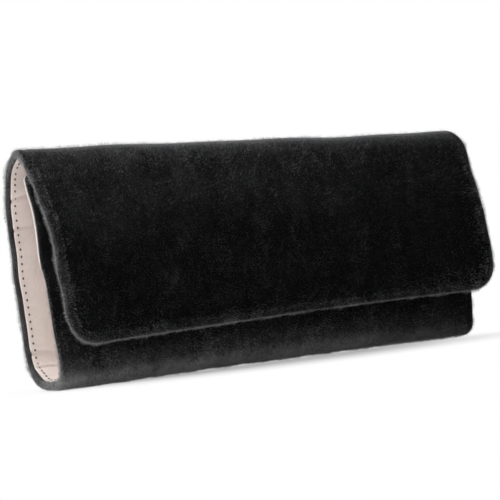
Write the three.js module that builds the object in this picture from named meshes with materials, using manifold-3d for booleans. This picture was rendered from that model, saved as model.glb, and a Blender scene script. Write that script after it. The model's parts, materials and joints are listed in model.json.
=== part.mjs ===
// Trifold velvet jewelry pouch, folded shut and standing on its base fold.
// Millimetres: X runs along the folds, the front faces -Y and Z is up, from under the middle of its box.
import * as THREE from 'three';
import { mergeVertices } from 'three/addons/utils/BufferGeometryUtils.js';
import Module from 'manifold-3d';

const wasm = await Module();
wasm.setup();

// Overall width, and the cloth layers from the outside in
const WIDTH = 235;
const VELVET = 1.2;
const BOARD = 1.8;
const LINING = 1.0;
const GAP = 0.3;
const FOLD_GAP = 0.4;
const HEM = 1.6;
const FRONT_SET_IN = 3;

// The folded section: lengths and radii of the outer skin, and how the panels lean in and bow out, in degrees
const FRONT_CORNER_RADIUS = 8;
const BACK_CORNER_RADIUS = 14.5;
const BACK_LENGTH = 77;
const TOP_RADIUS = 17;
const FLAP_LENGTH = 73;
const FRONT_TUCK = 4;
const FLAP_CLEARANCE = 2.2;
const FRONT_LEAN_ANGLE = 10;
const FRONT_BOW_ANGLE = 18;
const BACK_LEAN_ANGLE = 3;
const BACK_BOW_ANGLE = 18;
const FLAP_LEAN_ANGLE = 8;
const FLAP_BOW_ANGLE = 28;

// Free corners, and how far the stiffeners stay from a fold
const FLAP_CORNER = 15;
const FRONT_PANEL_CORNER = 11;
const BOARD_SET_BACK = 3;

// Closing magnets, sunk in the stiffeners
const MAGNET_RADIUS = 7;
const MAGNET_THICKNESS = 1.6;
const MAGNET_SPREAD = 120;
const MAGNET_TO_FLAP_TIP = 16;

// Zip pocket on the back lining
const POCKET_MARGIN = 14.5;
const POCKET_FOOT = 6;
const POCKET_CLOTH = 1.0;
const ZIP_BELOW_FOLD = 18.5;
const TAPE_WIDTH = 8.5;
const TAPE_THICKNESS = 0.6;
const TAPE_SPLIT = 0.8;

// Zip chain: teeth on a bead, one row to each tape
const CHAIN_MARGIN = 15;
const TEETH_PITCH = 2.8;
const TOOTH_WIDTH = 1.0;
const TOOTH_TIP = 0.7;
const TOOTH_TIP_DEPTH = 0.7;
const BEAD_INNER = 1.7;
const BEAD_WIDTH = 1.4;
const TEETH_THICKNESS = 1.6;
const ROW_SHIFT = 0.25 * TEETH_PITCH;
const STOP_LENGTH = 2.4;

// Zip slider and its pull
const SLIDER_LENGTH = 9;
const SLIDER_WALL = 1.0;
const SLIDER_WAIST = 0.5;
const SLIDER_CLEARANCE = 0.8;
const BRIDGE_WIDTH = 1.6;
const BRIDGE_SPAN = 6.4;
const BRIDGE_BAR = 0.9;
const PULL_BAR = 1.0;
const PULL_ARM = 0.9;
const PULL_EYE = 4.6;
const PULL_LENGTH = 13;
const PULL_TIP_WIDTH = 4.4;

// Slip pocket and ring bar on the front lining
const SLIP_POCKET_MARGIN = 15.5;
const SLIP_POCKET_FOOT = 5;
const SLIP_POCKET_HEIGHT = 24;
const RING_BAR_TO_POCKET = 12;
const RING_BAR_LENGTH = 106;
const RING_BAR_RADIUS = 5.5;
const TAB_WIDTH = 9;
const TAB_THICKNESS = 1.0;
const TAB_ROOT = 9;
const HINGE_TAB = 3;
const ANCHOR_LENGTH = 12;

// Snap of the ring bar
const SNAP_CAP_RADIUS = 5;
const SNAP_CAP_HEIGHT = 1.2;
const SNAP_CAP_CROWN = 3.5;
const SNAP_CAP_TO_BAR = 4.7;
const SNAP_TAB_END = 0.3;
const SNAP_RING_RADIUS = 4.4;
const SNAP_RING_HEIGHT = 1.0;
const SNAP_SHANK_WALL = 1.0;
const STUD_RADIUS = 4.4;
const STUD_BASE = 0.8;
const STUD_POST_RADIUS = 1.6;
const STUD_POST = 1.7;

// Facets, and how far a cutting solid runs past what it cuts
const SIDES = 24;
const CORNER_STEPS = 6;
const PANEL_STEPS = 9;
const TOP_STEPS = 9;
const CURVE_STEPS = 8;
const TUBE_END_STEPS = 5;
const HALVINGS = 40;
const PAST = 4;
const SAME_POINT = 1e-4;

// Layers and widths worked out from the sizes above
const THICKNESS = VELVET + GAP + BOARD + GAP + LINING;
const BOARD_INSET = VELVET + GAP;
const LINING_INSET = THICKNESS - LINING;
const LINER_MARGIN = HEM + GAP;
const HALF_FOLD = FOLD_GAP / 2;
const FRONT_WIDTH = WIDTH - 2 * FRONT_SET_IN;
const POCKET_WIDTH = WIDTH - 2 * POCKET_MARGIN;
const CHAIN_LENGTH = POCKET_WIDTH - 2 * CHAIN_MARGIN;

// Levels above the lining in the zip, and its slider's section
const TAPE_LEVEL = GAP;
const CLOTH_LEVEL = TAPE_LEVEL + TAPE_THICKNESS + GAP;
const SLIDER_ROOF = CLOTH_LEVEL + TEETH_THICKNESS + GAP;
const SLIDER_TOP = SLIDER_ROOF + SLIDER_WALL;
const BRIDGE_OPENING = GAP + PULL_BAR + GAP;
const PULL_AXIS_LEVEL = SLIDER_TOP + GAP + PULL_BAR / 2;
const BEAD_OUTER = BEAD_INNER + BEAD_WIDTH;
const CHANNEL_HALF = BEAD_OUTER + GAP;
const SLIDER_HALF = CHANNEL_HALF + SLIDER_WALL;
const SLIDER_HOME = CHAIN_LENGTH / 2 - STOP_LENGTH - GAP - SLIDER_LENGTH / 2;
const POCKET_TO_ZIP = SLIDER_HALF + SLIDER_CLEARANCE;
const ZIP_HEIGHT = BACK_LENGTH - ZIP_BELOW_FOLD;

// Levels above the lining at the ring bar's snap, and places along the bar
const SNAP_RING_LEVEL = GAP + STUD_BASE + GAP;
const SNAP_TAB_LEVEL = SNAP_RING_LEVEL + SNAP_RING_HEIGHT + GAP;
const SNAP_CAP_LEVEL = SNAP_TAB_LEVEL + TAB_THICKNESS + GAP;
const SNAP_BORE = STUD_POST_RADIUS + GAP;
const SNAP_SHANK_RADIUS = SNAP_BORE + SNAP_SHANK_WALL;
const RING_HINGE_X = -RING_BAR_LENGTH / 2 - HINGE_TAB;
const SNAP_X = RING_BAR_LENGTH / 2 + SNAP_CAP_TO_BAR + SNAP_CAP_RADIUS;
const SNAP_TAB_X = SNAP_X + SNAP_CAP_RADIUS + SNAP_TAB_END;

// Finishes
function finish(color, roughness, metalness) {
  return new THREE.MeshStandardMaterial({ color, roughness, metalness });
}

const velvet = finish(0x121214, 0.95, 0);
const blush = finish(0xe6cfc8, 0.9, 0);
const stiffener = finish(0xb9b2a6, 0.9, 0);
const foam = finish(0xe9e4da, 1, 0);
const zipCloth = finish(0xd9bdb5, 0.9, 0);
const nylon = finish(0xcfaea5, 0.5, 0);
const gold = finish(0xc9a25e, 0.3, 1);
const steel = finish(0xb8b8bc, 0.3, 1);

// The outer skin runs down the front, under the base, up the back, over the top and down the flap.
// Each stretch turns to the left or runs straight; headings are in degrees from +Y towards +Z.
function stretchOf(middle, bow, length, steps) {
  const start = THREE.MathUtils.degToRad(middle - bow / 2);
  return { start, turn: THREE.MathUtils.degToRad(bow), length, steps, point: new THREE.Vector2(0, 0) };
}

function corner(from, to, radius, steps) {
  const bow = to - from;
  return stretchOf((from + to) / 2, bow, radius * THREE.MathUtils.degToRad(bow), steps);
}

// Heading of a stretch, some way along it
function headingAt(stretch, along) {
  return stretch.start + stretch.turn * along / stretch.length;
}

// A point some way along a stretch, moved in from the skin
function skinPoint(stretch, along, inset) {
  const heading = headingAt(stretch, along);
  const chord = stretch.turn === 0 ? along : 2 * (stretch.length / stretch.turn)
    * Math.sin((heading - stretch.start) / 2);
  const chordHeading = (heading + stretch.start) / 2;
  return new THREE.Vector2(
    stretch.point.x + chord * Math.cos(chordHeading) - inset * Math.sin(heading),
    stretch.point.y + chord * Math.sin(chordHeading) + inset * Math.cos(heading),
  );
}

// How far along a stretch the skin passes a height, found by halving
function alongAtHeight(stretch, height) {
  let low = 0;
  let high = stretch.length;
  const falling = skinPoint(stretch, low, 0).y > skinPoint(stretch, high, 0).y;
  for (let turn = 0; turn < HALVINGS; turn += 1) {
    const middle = (low + high) / 2;
    const above = skinPoint(stretch, middle, 0).y > height;
    if (above === falling) {
      low = middle;
    } else {
      high = middle;
    }
  }
  return (low + high) / 2;
}

const FRONT_MIDDLE = 270 - FRONT_LEAN_ANGLE;
const BASE = 360;
const BACK_MIDDLE = 450 - BACK_LEAN_ANGLE;
const FLAP_MIDDLE = 630 - FLAP_LEAN_ANGLE;
const BACK_END = BACK_MIDDLE + BACK_BOW_ANGLE / 2;
const FLAP_START = FLAP_MIDDLE - FLAP_BOW_ANGLE / 2;
const RIDGE = (BACK_END + FLAP_START) / 2;
const skin = {
  frontCorner: corner(FRONT_MIDDLE + FRONT_BOW_ANGLE / 2, BASE, FRONT_CORNER_RADIUS, CORNER_STEPS),
  backCorner: corner(BASE, BACK_MIDDLE - BACK_BOW_ANGLE / 2, BACK_CORNER_RADIUS, CORNER_STEPS),
  back: stretchOf(BACK_MIDDLE, BACK_BOW_ANGLE, BACK_LENGTH, PANEL_STEPS),
  topRear: corner(BACK_END, RIDGE, TOP_RADIUS, TOP_STEPS),
  topFront: corner(RIDGE, FLAP_START, TOP_RADIUS, TOP_STEPS),
  flap: stretchOf(FLAP_MIDDLE, FLAP_BOW_ANGLE, FLAP_LENGTH, PANEL_STEPS),
};

// Places each stretch where the one before it ends
function chain(...stretches) {
  for (let index = 1; index < stretches.length; index += 1) {
    const before = stretches[index - 1];
    stretches[index].point = skinPoint(before, before.length, 0);
  }
}

// The front corner ends at the base's front edge, on the ground and at Y = 0
skin.frontCorner.point = skinPoint(skin.frontCorner, skin.frontCorner.length, 0).negate();
chain(skin.backCorner, skin.back, skin.topRear, skin.topFront, skin.flap);

// The front reaches up to its tuck below the flap's fold
const frontRise = skin.flap.point.y - FRONT_TUCK - skin.frontCorner.point.y;
const unitFront = stretchOf(FRONT_MIDDLE, FRONT_BOW_ANGLE, 1, PANEL_STEPS);
const FRONT_LENGTH = -frontRise / skinPoint(unitFront, 1, 0).y;
skin.front = stretchOf(FRONT_MIDDLE, FRONT_BOW_ANGLE, FRONT_LENGTH, PANEL_STEPS);
const frontReach = skinPoint(skin.front, FRONT_LENGTH, 0);
skin.front.point = skin.frontCorner.point.clone().sub(frontReach);

// The flat base is as long as the clearance between the flap's tip and the front leaves it
const flapTip = skinPoint(skin.flap, FLAP_LENGTH, THICKNESS);
const facing = skinPoint(skin.front, alongAtHeight(skin.front, flapTip.y), 0);
const BASE_LENGTH = facing.x - FLAP_CLEARANCE - flapTip.x;
skin.backCorner.point = new THREE.Vector2(BASE_LENGTH, 0);
chain(skin.backCorner, skin.back, skin.topRear, skin.topFront, skin.flap);

// Closed outline of a layer that follows the skin over one or more runs, between two insets
function layer(runs, outer, inner) {
  const line = (inset) => runs.flatMap(({ on, from, to }) => {
    const stretch = skin[on];
    return Array.from({ length: stretch.steps + 1 }, (_, step) =>
      skinPoint(stretch, from + (to - from) * step / stretch.steps, inset));
  });
  return [...line(outer), ...line(inner).reverse()];
}

// A section in the YZ plane, drawn out along X and centred
const ALONG_X = new THREE.Matrix4().makeBasis(
  new THREE.Vector3(0, 1, 0), new THREE.Vector3(0, 0, 1), new THREE.Vector3(1, 0, 0));

function drawnAlongX(points, width) {
  const apart = (point, before) => before === undefined || point.distanceTo(before) > SAME_POINT;
  const kept = points.filter((point, index) => apart(point, points[index - 1]));
  const geometry = new THREE.ExtrudeGeometry(new THREE.Shape(kept), { depth: width, bevelEnabled: false });
  return geometry.translate(0, 0, -width / 2).applyMatrix4(ALONG_X);
}

// A flat outline in the XY plane, drawn out along Z from a level
function drawnUp(outline, level, height) {
  const options = { depth: height, bevelEnabled: false, curveSegments: CURVE_STEPS };
  return new THREE.ExtrudeGeometry(outline, options).translate(0, 0, level);
}

function block(lowX, highX, lowY, highY, lowZ, highZ) {
  const geometry = new THREE.BoxGeometry(highX - lowX, highY - lowY, highZ - lowZ);
  return geometry.translate((lowX + highX) / 2, (lowY + highY) / 2, (lowZ + highZ) / 2);
}

// Joins and cuts
function solid(geometry) {
  const bare = geometry.clone();
  bare.deleteAttribute('normal');
  bare.deleteAttribute('uv');
  const merged = mergeVertices(bare, SAME_POINT);
  return new wasm.Manifold(new wasm.Mesh({
    numProp: 3,
    vertProperties: new Float32Array(merged.attributes.position.array),
    triVerts: new Uint32Array(merged.index.array),
  }));
}

function shape(result) {
  const mesh = result.getMesh();
  const geometry = new THREE.BufferGeometry();
  geometry.setAttribute('position', new THREE.BufferAttribute(new Float32Array(mesh.vertProperties), 3));
  geometry.setIndex(new THREE.BufferAttribute(new Uint32Array(mesh.triVerts), 1));
  geometry.computeVertexNormals();
  return geometry;
}

// A tall plate that trims a panel to round free corners, at its lower or its upper edge
function cornerTrim(width, edge, radius, side) {
  const half = width / 2;
  const far = edge + side * (FRONT_LENGTH + FLAP_LENGTH);
  const outline = new THREE.Shape();
  outline.moveTo(-half, far);
  outline.lineTo(-half, edge + side * radius);
  outline.quadraticCurveTo(-half, edge, -half + radius, edge);
  outline.lineTo(half - radius, edge);
  outline.quadraticCurveTo(half, edge, half, edge + side * radius);
  outline.lineTo(half, far);
  return drawnUp(outline, -WIDTH / 2, WIDTH).rotateX(Math.PI / 2);
}

function mesh(name, geometry, material) {
  const piece = new THREE.Mesh(geometry, material);
  piece.name = name;
  return piece;
}

const bodyRuns = (pastEnds) => [
  { on: 'frontCorner', from: HALF_FOLD - pastEnds, to: skin.frontCorner.length },
  { on: 'backCorner', from: 0, to: skin.backCorner.length },
  { on: 'back', from: 0, to: BACK_LENGTH - HALF_FOLD + pastEnds },
];

// Back and base: velvet with turned-in ends, stiffener, foam and lining
function bodyPanel() {
  const outer = solid(drawnAlongX(layer(bodyRuns(0), 0, THICKNESS), WIDTH));
  const hollow = solid(drawnAlongX(layer(bodyRuns(HALF_FOLD), VELVET, THICKNESS + GAP), WIDTH - 2 * HEM));
  const width = WIDTH - 2 * LINER_MARGIN;
  const boardRun = [{ on: 'back', from: GAP, to: BACK_LENGTH - BOARD_SET_BACK }];
  const foamRuns = [
    { on: 'frontCorner', from: BOARD_SET_BACK, to: skin.frontCorner.length },
    { on: 'backCorner', from: 0, to: skin.backCorner.length - GAP },
  ];
  return [
    mesh('body_cover', shape(outer.subtract(hollow)), velvet),
    mesh('back_board', drawnAlongX(layer(boardRun, BOARD_INSET, BOARD_INSET + BOARD), width), stiffener),
    mesh('base_foam', drawnAlongX(layer(foamRuns, BOARD_INSET, BOARD_INSET + BOARD), width), foam),
    mesh('body_lining', drawnAlongX(layer(bodyRuns(0), LINING_INSET, THICKNESS), width), blush),
  ];
}

// Half of the arched top, from a fold to the ridge: velvet with turned-in ends, foam and lining
function topPanel(name, on) {
  const within = (setBack) => [{ on, from: setBack, to: skin[on].length - setBack }];
  const outer = solid(drawnAlongX(layer(within(HALF_FOLD), 0, THICKNESS), WIDTH));
  const hollow = solid(drawnAlongX(layer(within(0), VELVET, THICKNESS + GAP), WIDTH - 2 * HEM));
  const width = WIDTH - 2 * LINER_MARGIN;
  const foamSection = layer(within(BOARD_SET_BACK), BOARD_INSET, BOARD_INSET + BOARD);
  return [
    mesh(`${name}_cover`, shape(outer.subtract(hollow)), velvet),
    mesh(`${name}_foam`, drawnAlongX(foamSection, width), foam),
    mesh(`${name}_lining`, drawnAlongX(layer(within(HALF_FOLD), LINING_INSET, THICKNESS), width), blush),
  ];
}

// A panel with a free edge: velvet hemmed on three sides, stiffener with magnets, and lining
function freePanel({ name, on, width, corner, side, fold, free, magnetAlong }) {
  const inward = Math.sign(fold - free);
  const edge = side * Math.min(...[0, THICKNESS].map((inset) => side * skinPoint(skin[on], free, inset).y));
  const run = (from, to) => [{ on, from, to }];
  const trim = (margin) => solid(cornerTrim(width - 2 * margin, edge + side * margin, corner - margin, side));
  const part = (start, margin, outer, inner) => {
    const section = layer(run(start, free + inward * margin), outer, inner);
    return solid(drawnAlongX(section, width)).intersect(trim(margin));
  };
  const foldEnd = fold - inward * HALF_FOLD;
  const hollow = part(fold + inward * PAST, HEM, VELVET, THICKNESS + GAP);
  const cover = part(foldEnd, 0, 0, THICKNESS).subtract(hollow);
  let board = part(fold - inward * BOARD_SET_BACK, LINER_MARGIN, BOARD_INSET, BOARD_INSET + BOARD);
  const magnets = [['left', -1], ['right', 1]].map(([hand, sign]) => {
    const seat = panelGroup(on, magnetAlong, BOARD_INSET + BOARD / 2);
    const magnet = mesh(`${name}_magnet_${hand}`, disc(MAGNET_RADIUS, MAGNET_THICKNESS), steel);
    magnet.position.x = sign * MAGNET_SPREAD / 2;
    seat.add(magnet);
    seat.updateMatrixWorld(true);
    const well = disc(MAGNET_RADIUS + GAP, BOARD + PAST).applyMatrix4(magnet.matrixWorld);
    board = board.subtract(solid(well));
    return seat;
  });
  return [
    mesh(`${name}_cover`, shape(cover), velvet),
    mesh(`${name}_board`, shape(board), stiffener),
    mesh(`${name}_lining`, shape(part(foldEnd, LINER_MARGIN, LINING_INSET, THICKNESS)), blush),
    ...magnets,
  ];
}

function disc(radius, thickness) {
  return new THREE.CylinderGeometry(radius, radius, thickness, SIDES).rotateX(Math.PI / 2);
}

// A frame on a panel: X along the pouch, Y along the skin, Z into the pouch, at an inset from the skin
function panelGroup(on, along, inset) {
  const group = new THREE.Group();
  const place = skinPoint(skin[on], along, inset);
  group.position.set(0, place.x, place.y);
  group.rotation.x = headingAt(skin[on], along);
  return group;
}

// One row of zip teeth on its bead, as a rack in plan; the rows face each other, half a pitch apart
function teethRow(shift, side) {
  const count = Math.floor((CHAIN_LENGTH - 2 * STOP_LENGTH) / TEETH_PITCH) - 1;
  const half = count * TEETH_PITCH / 2 + TOOTH_WIDTH;
  const outline = new THREE.Shape();
  outline.moveTo(-half, side * BEAD_OUTER);
  outline.lineTo(-half, side * BEAD_INNER);
  for (let tooth = 0; tooth < count; tooth += 1) {
    const middle = (tooth - (count - 1) / 2) * TEETH_PITCH + shift;
    outline.lineTo(middle - TOOTH_WIDTH / 2, side * BEAD_INNER);
    outline.lineTo(middle - TOOTH_TIP / 2, -side * TOOTH_TIP_DEPTH);
    outline.lineTo(middle + TOOTH_TIP / 2, -side * TOOTH_TIP_DEPTH);
    outline.lineTo(middle + TOOTH_WIDTH / 2, side * BEAD_INNER);
  }
  outline.lineTo(half, side * BEAD_INNER);
  outline.lineTo(half, side * BEAD_OUTER);
  return drawnUp(outline, CLOTH_LEVEL, TEETH_THICKNESS);
}

// Zip slider: a waisted saddle over the chain with a bridge for the pull
function sliderSolid() {
  const half = SLIDER_LENGTH / 2;
  const outline = new THREE.Shape();
  outline.moveTo(-half, -SLIDER_HALF);
  outline.quadraticCurveTo(0, -SLIDER_HALF + SLIDER_WAIST, half, -SLIDER_HALF + SLIDER_WAIST);
  outline.lineTo(half, SLIDER_HALF - SLIDER_WAIST);
  outline.quadraticCurveTo(0, SLIDER_HALF - SLIDER_WAIST, -half, SLIDER_HALF);
  const saddle = solid(drawnUp(outline, CLOTH_LEVEL, SLIDER_TOP - CLOTH_LEVEL));
  const channel = solid(block(-half - PAST, half + PAST, -CHANNEL_HALF, CHANNEL_HALF, -PAST, SLIDER_ROOF));
  const span = BRIDGE_SPAN / 2;
  const legTop = SLIDER_TOP + BRIDGE_OPENING;
  const arch = new THREE.Shape();
  arch.moveTo(-span, SLIDER_TOP - SLIDER_WALL / 2);
  arch.lineTo(span, SLIDER_TOP - SLIDER_WALL / 2);
  arch.lineTo(span, legTop - BRIDGE_BAR / 2);
  arch.quadraticCurveTo(span, legTop + BRIDGE_BAR, 0, legTop + BRIDGE_BAR);
  arch.quadraticCurveTo(-span, legTop + BRIDGE_BAR, -span, legTop - BRIDGE_BAR / 2);
  const eye = new THREE.Path();
  eye.moveTo(-span + BRIDGE_BAR, SLIDER_TOP);
  eye.lineTo(span - BRIDGE_BAR, SLIDER_TOP);
  eye.lineTo(span - BRIDGE_BAR, legTop - BRIDGE_BAR / 2);
  eye.quadraticCurveTo(span - BRIDGE_BAR, legTop, 0, legTop);
  eye.quadraticCurveTo(-span + BRIDGE_BAR, legTop, -span + BRIDGE_BAR, legTop - BRIDGE_BAR / 2);
  arch.holes.push(eye);
  const bridge = drawnUp(arch, -BRIDGE_WIDTH / 2, BRIDGE_WIDTH).rotateX(Math.PI / 2);
  return shape(saddle.subtract(channel).add(solid(bridge)));
}

// Zip pull: an eye whose bar runs through the bridge, and a tapered leaf
function pullSolid() {
  const inner = BRIDGE_WIDTH / 2 + GAP;
  const outer = inner + PULL_ARM;
  const outline = new THREE.Shape();
  outline.moveTo(-PULL_BAR / 2, -outer);
  outline.lineTo(PULL_EYE, -outer);
  outline.lineTo(PULL_LENGTH - PULL_TIP_WIDTH / 2, -PULL_TIP_WIDTH / 2);
  outline.absarc(PULL_LENGTH - PULL_TIP_WIDTH / 2, 0, PULL_TIP_WIDTH / 2, -Math.PI / 2, Math.PI / 2);
  outline.lineTo(PULL_EYE, outer);
  outline.lineTo(-PULL_BAR / 2, outer);
  const eye = new THREE.Path();
  eye.moveTo(PULL_BAR / 2, -inner);
  eye.lineTo(PULL_EYE, -inner);
  eye.lineTo(PULL_EYE, inner);
  eye.lineTo(PULL_BAR / 2, inner);
  outline.holes.push(eye);
  return drawnUp(outline, -PULL_BAR / 2, PULL_BAR);
}

// Zip pocket on the back: two plies of cloth, a facing over the zip, tapes, teeth, stops, slider and pull
function zipPocket() {
  const ply = (from, to, level, thickness) => drawnAlongX(
    layer([{ on: 'back', from, to }], THICKNESS + level, THICKNESS + level + thickness), POCKET_WIDTH);
  const zip = panelGroup('back', ZIP_HEIGHT, THICKNESS);
  const half = POCKET_WIDTH / 2;
  const tapeTop = TAPE_LEVEL + TAPE_THICKNESS;
  const lower = block(-half, half, -TAPE_WIDTH, -TAPE_SPLIT / 2, TAPE_LEVEL, tapeTop);
  const upper = block(-half, half, TAPE_SPLIT / 2, TAPE_WIDTH, TAPE_LEVEL, tapeTop);
  const end = CHAIN_LENGTH / 2;
  const stop = (lowX, lowY, highY) =>
    block(lowX, lowX + STOP_LENGTH, lowY, highY, CLOTH_LEVEL, CLOTH_LEVEL + TEETH_THICKNESS);
  zip.add(
    mesh('zip_tape_lower', lower, zipCloth),
    mesh('zip_tape_upper', upper, zipCloth),
    mesh('zip_teeth_lower', teethRow(-ROW_SHIFT, -1), nylon),
    mesh('zip_teeth_upper', teethRow(ROW_SHIFT, 1), nylon),
    mesh('zip_bottom_stop', stop(-end, -BEAD_OUTER, BEAD_OUTER), gold),
    mesh('zip_top_stop_lower', stop(end - STOP_LENGTH, -BEAD_OUTER, -BEAD_INNER), gold),
    mesh('zip_top_stop_upper', stop(end - STOP_LENGTH, BEAD_INNER, BEAD_OUTER), gold),
  );
  const facingFoot = ZIP_HEIGHT + POCKET_TO_ZIP;
  const slider = mesh('zip_slider', sliderSolid(), gold);
  slider.position.x = SLIDER_HOME;
  const pull = mesh('zip_pull', pullSolid(), gold);
  pull.position.set(SLIDER_HOME, 0, PULL_AXIS_LEVEL);
  pull.rotation.y = Math.PI;
  zip.add(slider, pull);
  return [
    mesh('pocket_back', ply(POCKET_FOOT, ZIP_HEIGHT - TAPE_WIDTH - GAP, TAPE_LEVEL, TAPE_THICKNESS), blush),
    mesh('pocket_front', ply(POCKET_FOOT, ZIP_HEIGHT - POCKET_TO_ZIP, CLOTH_LEVEL, POCKET_CLOTH), blush),
    mesh('zip_trim', ply(facingFoot, ZIP_HEIGHT + TAPE_WIDTH, CLOTH_LEVEL, POCKET_CLOTH), blush),
    zip,
  ];
}

// Slip pocket low on the front lining, under the ring bar
const slipPocketMouth = FRONT_LENGTH - SLIP_POCKET_FOOT - SLIP_POCKET_HEIGHT;

function slipPocket() {
  const run = [{ on: 'front', from: slipPocketMouth, to: slipPocketMouth + SLIP_POCKET_HEIGHT }];
  const outline = layer(run, THICKNESS + GAP, THICKNESS + GAP + POCKET_CLOTH);
  return mesh('slip_pocket', drawnAlongX(outline, FRONT_WIDTH - 2 * SLIP_POCKET_MARGIN), blush);
}

// Ring bar: a stuffed tube with a sewn tab at one end and a snapped tab at the other
function ringBarSolid() {
  const half = RING_BAR_LENGTH / 2;
  const round = RING_BAR_RADIUS;
  const profile = new THREE.Path();
  profile.moveTo(0, -half);
  profile.absarc(0, -half + round, round, -Math.PI / 2, 0);
  profile.absarc(0, half - round, round, 0, Math.PI / 2);
  const outline = profile.getPoints(TUBE_END_STEPS).map(onAxis);
  const tube = new THREE.LatheGeometry(outline, SIDES).rotateZ(-Math.PI / 2);
  tube.translate(0, 0, GAP + RING_BAR_RADIUS);
  const width = TAB_WIDTH / 2;
  const sewn = block(RING_HINGE_X + GAP, -half + TAB_ROOT, -width, width, GAP, GAP + TAB_THICKNESS);
  const tabTop = SNAP_TAB_LEVEL + TAB_THICKNESS;
  const snapped = block(half - TAB_ROOT, SNAP_TAB_X, -width, width, SNAP_TAB_LEVEL, tabTop);
  const hole = disc(SNAP_SHANK_RADIUS + GAP, TAB_THICKNESS + PAST).translate(SNAP_X, 0, SNAP_TAB_LEVEL);
  return shape(solid(tube).add(solid(sewn)).add(solid(snapped).subtract(solid(hole))));
}

// Clears the rounding that keeps a lathe profile's end points off the axis
function onAxis(point) {
  return new THREE.Vector2(Math.abs(point.x) < SAME_POINT ? 0 : point.x, point.y);
}

function turned(points) {
  const profile = points.map(([radius, level]) => new THREE.Vector2(radius, level));
  return new THREE.LatheGeometry(profile, SIDES).rotateX(Math.PI / 2);
}

// Ring bar and its snap, on the front lining
function ringBar() {
  const group = panelGroup('front', slipPocketMouth - RING_BAR_TO_POCKET, THICKNESS);
  const width = TAB_WIDTH / 2;
  const patchEnd = RING_HINGE_X - GAP;
  const patch = block(patchEnd - ANCHOR_LENGTH, patchEnd, -width, width, GAP, GAP + TAB_THICKNESS);
  const ringTop = SNAP_RING_LEVEL + SNAP_RING_HEIGHT;
  const cap = turned([
    [0, SNAP_CAP_LEVEL + SNAP_CAP_HEIGHT],
    [0, SNAP_CAP_LEVEL],
    [SNAP_BORE, SNAP_CAP_LEVEL],
    [SNAP_BORE, SNAP_RING_LEVEL],
    [SNAP_RING_RADIUS, SNAP_RING_LEVEL],
    [SNAP_RING_RADIUS, ringTop],
    [SNAP_SHANK_RADIUS, ringTop],
    [SNAP_SHANK_RADIUS, SNAP_CAP_LEVEL],
    [SNAP_CAP_RADIUS, SNAP_CAP_LEVEL],
    [SNAP_CAP_RADIUS, SNAP_CAP_LEVEL + SNAP_CAP_HEIGHT / 2],
    [SNAP_CAP_CROWN, SNAP_CAP_LEVEL + SNAP_CAP_HEIGHT],
    [0, SNAP_CAP_LEVEL + SNAP_CAP_HEIGHT],
  ]);
  const stud = turned([
    [0, GAP],
    [STUD_RADIUS, GAP],
    [STUD_RADIUS, GAP + STUD_BASE],
    [STUD_POST_RADIUS, GAP + STUD_BASE],
    [STUD_POST_RADIUS, GAP + STUD_BASE + STUD_POST],
    [0, GAP + STUD_BASE + STUD_POST],
  ]);
  group.add(
    mesh('ring_anchor', patch, blush),
    mesh('ring_bar', ringBarSolid(), blush),
    mesh('snap_cap', cap.translate(SNAP_X, 0, 0), gold),
    mesh('snap_stud', stud.translate(SNAP_X, 0, 0), gold),
  );
  return group;
}

const magnetAlongFlap = FLAP_LENGTH - MAGNET_TO_FLAP_TIP;
const magnetHeight = skinPoint(skin.flap, magnetAlongFlap, 0).y;

const pouch = new THREE.Group();
pouch.add(
  ...bodyPanel(),
  ...zipPocket(),
  ...topPanel('top_rear', 'topRear'),
  ...topPanel('top_front', 'topFront'),
  ...freePanel({
    name: 'flap', on: 'flap', width: WIDTH, corner: FLAP_CORNER, side: 1,
    fold: 0, free: FLAP_LENGTH, magnetAlong: magnetAlongFlap,
  }),
  ...freePanel({
    name: 'front', on: 'front', width: FRONT_WIDTH, corner: FRONT_PANEL_CORNER, side: -1,
    fold: FRONT_LENGTH, free: 0, magnetAlong: alongAtHeight(skin.front, magnetHeight),
  }),
  slipPocket(),
  ringBar(),
);

// The base stands on Z = 0, with the box of the whole pouch centred over the origin
const box = new THREE.Box3().setFromObject(pouch);
pouch.position.set(0, -(box.min.y + box.max.y) / 2, -box.min.z);

export default pouch;
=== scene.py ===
"""Looks of the trifold velvet pouch: its cloths are cut flat, folded round the section and softened."""
import json
import math

import bpy
import numpy as np
from mathutils import Matrix, Vector

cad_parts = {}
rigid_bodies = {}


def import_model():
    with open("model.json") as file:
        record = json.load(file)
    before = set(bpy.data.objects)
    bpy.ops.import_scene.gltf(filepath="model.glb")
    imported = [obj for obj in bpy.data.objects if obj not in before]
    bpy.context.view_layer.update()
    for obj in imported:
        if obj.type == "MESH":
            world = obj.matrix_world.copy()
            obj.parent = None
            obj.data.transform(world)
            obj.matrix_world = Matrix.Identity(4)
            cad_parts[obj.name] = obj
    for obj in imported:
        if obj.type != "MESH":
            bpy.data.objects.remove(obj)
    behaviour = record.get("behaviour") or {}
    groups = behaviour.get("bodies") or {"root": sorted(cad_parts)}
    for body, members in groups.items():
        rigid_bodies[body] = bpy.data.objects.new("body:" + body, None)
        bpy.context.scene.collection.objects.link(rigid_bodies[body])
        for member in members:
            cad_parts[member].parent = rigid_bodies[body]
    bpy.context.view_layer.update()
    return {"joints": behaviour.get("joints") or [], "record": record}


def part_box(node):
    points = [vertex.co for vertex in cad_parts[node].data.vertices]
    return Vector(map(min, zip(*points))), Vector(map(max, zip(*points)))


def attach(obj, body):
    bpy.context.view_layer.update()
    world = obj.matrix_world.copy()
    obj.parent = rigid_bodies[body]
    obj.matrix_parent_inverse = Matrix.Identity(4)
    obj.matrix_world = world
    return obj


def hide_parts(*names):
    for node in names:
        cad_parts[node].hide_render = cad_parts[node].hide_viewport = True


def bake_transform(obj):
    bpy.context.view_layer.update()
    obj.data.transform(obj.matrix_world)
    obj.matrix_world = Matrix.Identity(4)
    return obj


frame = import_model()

MM = 0.001

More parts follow.
